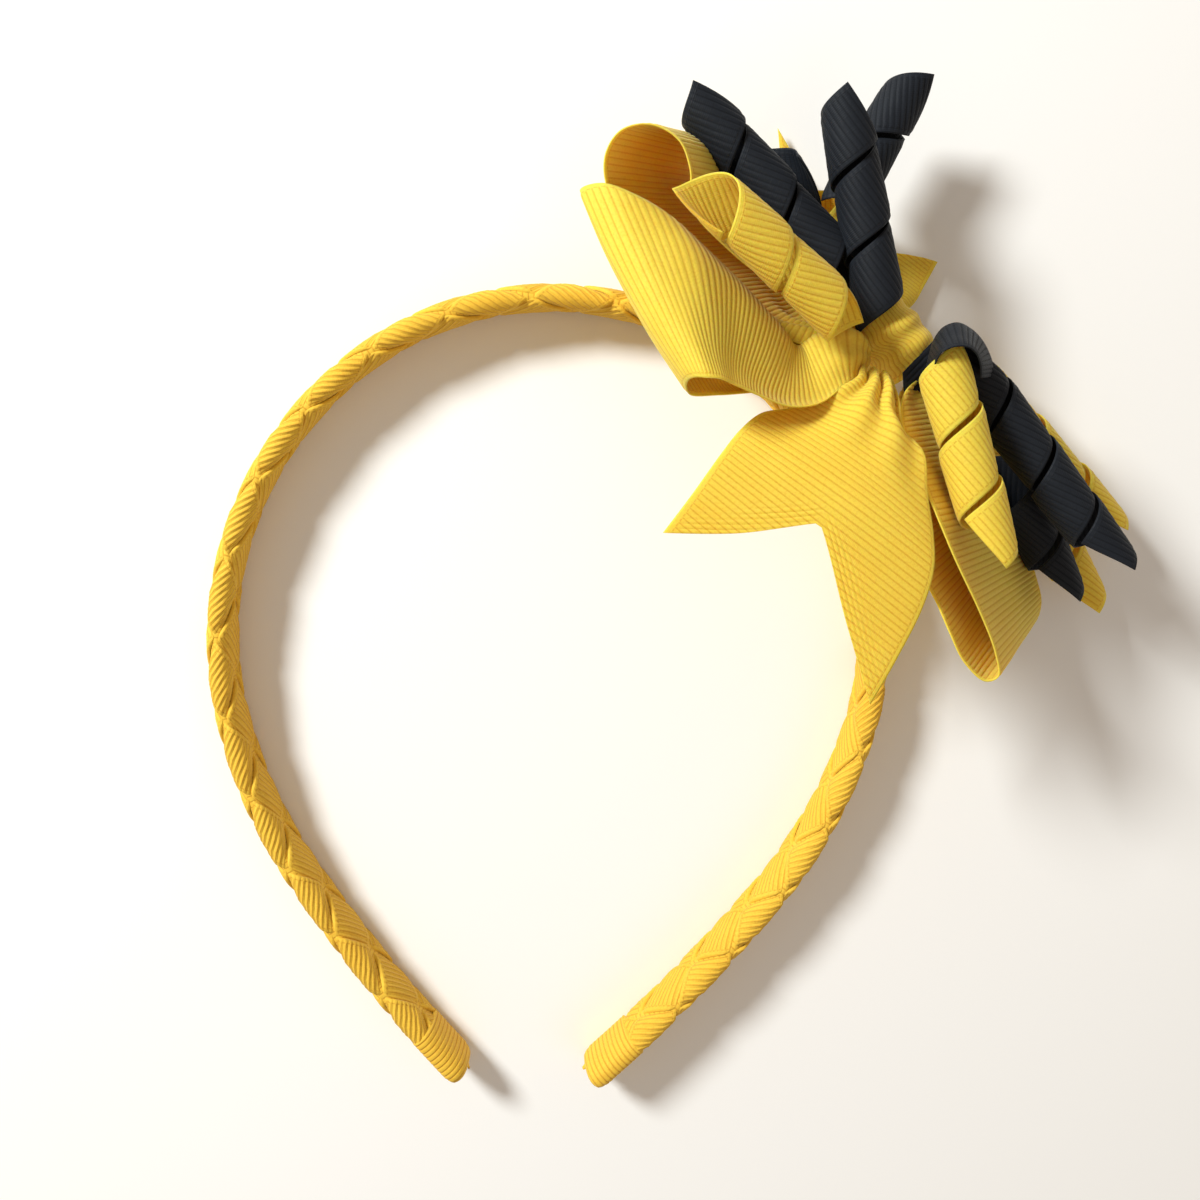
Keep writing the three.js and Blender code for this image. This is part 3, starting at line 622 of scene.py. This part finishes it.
# Knot: a strip of the same wide ribbon pulled tight round the gathered middle and glued at the
# back, so that it crumples into soft pleats and its ribs run along the bundle in waves.
KNOT_TILT = -49         # degrees
KNOT_LENGTH = 0.30 * WIDE
KNOT_REACH = 0.145 * WIDE
KNOT_DEPTH = 0.19 * WIDE
KNOT_STRIP = 42.0       # mm of ribbon round the knot
KNOT_RIB = 0.11         # mm
KNOT_WALL = 0.9         # mm, two turns of the ribbon
stations = rib_stations(KNOT_STRIP)
T, W = np.meshgrid(stations / stations[-1] * 2 * math.pi, np.linspace(0, 1, 41), indexing="ij")
barrel = 1 - 0.14 * (2 * W - 1) ** 2 + 0.10 * (W - 0.5)
pleat = 0.14 * np.sin(W * 3 * 2 * math.pi + 0.6 * np.sin(T)) + 0.10 * np.sin(W * 5 * math.pi + 2 * T)
pleat = pleat + KNOT_RIB * rib_rise(stations)[:, None]
wave = 0.16 * np.sin(W * 2.2 * math.pi + 0.7 * np.cos(T * 2)) + 0.05 * np.sin(W * 6 * math.pi)
axis = np.array([math.cos(math.radians(KNOT_TILT)), math.sin(math.radians(KNOT_TILT)), 0])
out = np.array([-axis[1], axis[0], 0])
up = np.array([0, 0, 1.0])


def knot_surface(depth):
    """The knot's surface, that many mm under the outside."""
    reach = (KNOT_REACH * barrel + pleat - depth) * np.cos(T + wave)
    rise = (KNOT_DEPTH * barrel + pleat - depth) * np.sin(T + wave)
    return BOW + ((W - 0.5) * KNOT_LENGTH)[..., None] * axis + reach[..., None] * out + rise[..., None] * up


def closed_round(outside, inside):
    """Rows that go over the outside and back along the inside to where they began."""
    return np.concatenate([outside, inside[:, ::-1], outside[:, :1]], axis=1)


shell = closed_round(knot_surface(0), knot_surface(KNOT_WALL))
weave = np.stack(np.broadcast_arrays(stations[:, None], np.minimum(W, 1 - W) * KNOT_LENGTH), -1)
weave = closed_round(weave, weave)
solid_piece(
    "knot", shell.reshape(-1, 3), quads(*shell.shape[:2]), weave.reshape(-1, 2),
    *YELLOW, "bow_knot",
)

# Curled ribbons: lengths of 9.5 mm ribbon wound tightly on a rod and baked, so that they keep
# the shape of open tubes, yellow and navy. They are cut across at the free end. Each row gives the
# free and the held end from the middle of the bow in widths of the wide ribbon, and where round
# the tube the ribbon starts, in degrees.
NAVY = (navy_cloth, "navy_ribbon")
CURL_RADIUS = 3.7       # mm
CURL_PITCH = 1.08       # from turn to turn, in widths of the ribbon
FLARE = 0.44            # mm that one edge stands further out than the other
WOBBLE = 0.10           # mm by which the radius varies along a curl
CURL_ACROSS = 1.2       # mm, about, from point to point across the ribbon
CURLS = [
    ("curl_yellow_left", [-0.86, 0.44, 0.58], [-0.28, 0.04, 0.37], 180, YELLOW),
    ("curl_navy_left_1", [-0.86, 0.82, 0.13], [-0.19, 0.22, 0.08], 38, NAVY),
    ("curl_navy_left_2", [-0.30, 0.84, 0.18], [-0.09, 0.14, 0.13], 56, NAVY),
    ("curl_navy_left_3", [0.00, 1.01, -0.13], [-0.19, 0.61, -0.11], 16, NAVY),
    ("curl_navy_left_rear", [-0.535, 0.77, -0.18], [-0.42, 0.60, -0.18], 120, NAVY),
    ("curl_yellow_left_rear", [-0.27, 0.55, -0.24], [-0.065, 0.15, -0.19], 238, YELLOW),
    ("curl_yellow_right", [0.36, -0.78, 0.45], [0.143, -0.14, 0.365], 60, YELLOW),
    ("curl_navy_right_1", [0.95, -0.81, 0.18], [0.31, -0.11, 0.16], 72, NAVY),
    ("curl_navy_right_2", [0.88, -0.97, -0.12], [0.60, -0.53, -0.06], 75, NAVY),
    ("curl_yellow_right_1", [1.09, -0.69, -0.24], [0.51, -0.16, -0.24], 80, YELLOW),
    ("curl_yellow_right_2", [1.10, -1.04, -0.36], [0.78, -0.58, -0.36], 56, YELLOW),
]


def curled_ribbon(name, free, held, start, colour):
    begin = np.array(free) * WIDE + BOW
    axis = np.array(held) * WIDE + BOW - begin
    length = np.linalg.norm(axis)
    axis /= length
    side = np.cross([0, 0, 1.0], axis)
    side /= np.linalg.norm(side)
    up = np.cross(axis, side)
    slope = math.asin(NARROW * CURL_PITCH / (2 * math.pi * CURL_RADIUS))
    across = across_steps(NARROW, CURL_ACROSS)
    A, C = np.meshgrid(rib_stations(length / math.sin(slope)), across - NARROW / 2, indexing="ij")
    angle = (A * math.cos(slope) - C * math.sin(slope)) / CURL_RADIUS + math.radians(start)
    height = A * math.sin(slope) + C * math.cos(slope)
    radius = CURL_RADIUS + FLARE * C / NARROW + WOBBLE * np.sin(A * 0.23 + start)
    grid = begin + height[..., None] * axis + (radius * np.cos(angle))[..., None] * side
    grid = above_table(grid + (radius * np.sin(angle))[..., None] * up, LOWEST)
    return solid_piece(name + "_ribbon", *ribbon_mesh(grid, A, across), *colour, name)


for row in CURLS:
    curled_ribbon(*row)

# Navy arch and strap: two short runs of the narrow navy ribbon by the knot. One bows over the
# end of the yellow curl, and the other crosses flat from the knot to it.
ARCH = [
    ([0.085, -0.143, 0.38], [0.114, -0.104, 0.2], 0.00),
    ([0.069, -0.104, 0.46], [0.106, -0.054, 0.25], 0.00),
    ([0.076, -0.067, 0.5], [0.104, -0.009, 0.29], 0.00),
    ([0.11, -0.047, 0.51], [0.129, 0.039, 0.31], 0.00),
    ([0.147, -0.04, 0.51], [0.18, 0.061, 0.32], 0.00),
    ([0.183, -0.045, 0.5], [0.246, 0.039, 0.31], 0.00),
    ([0.215, -0.064, 0.48], [0.311, -0.009, 0.28], 0.00),
    ([0.248, -0.099, 0.44], [0.365, -0.075, 0.24], 0.00),
    ([0.278, -0.148, 0.38], [0.396, -0.128, 0.19], 0.00),
]
STRAP = [
    ([0.14, 0.00, 0.17], [0.02, -0.14, 0.19], 0.00),
    ([0.17, -0.08, 0.17], [0.04, -0.22, 0.17], 0.00),
    ([0.22, -0.18, 0.11], [0.09, -0.29, 0.11], 0.00),
]
laid_ribbon("navy_arch", "curl_navy_arch", ARCH, colour=NAVY, width=NARROW)
laid_ribbon("navy_strap", "curl_navy_strap", STRAP, colour=NAVY, width=NARROW)
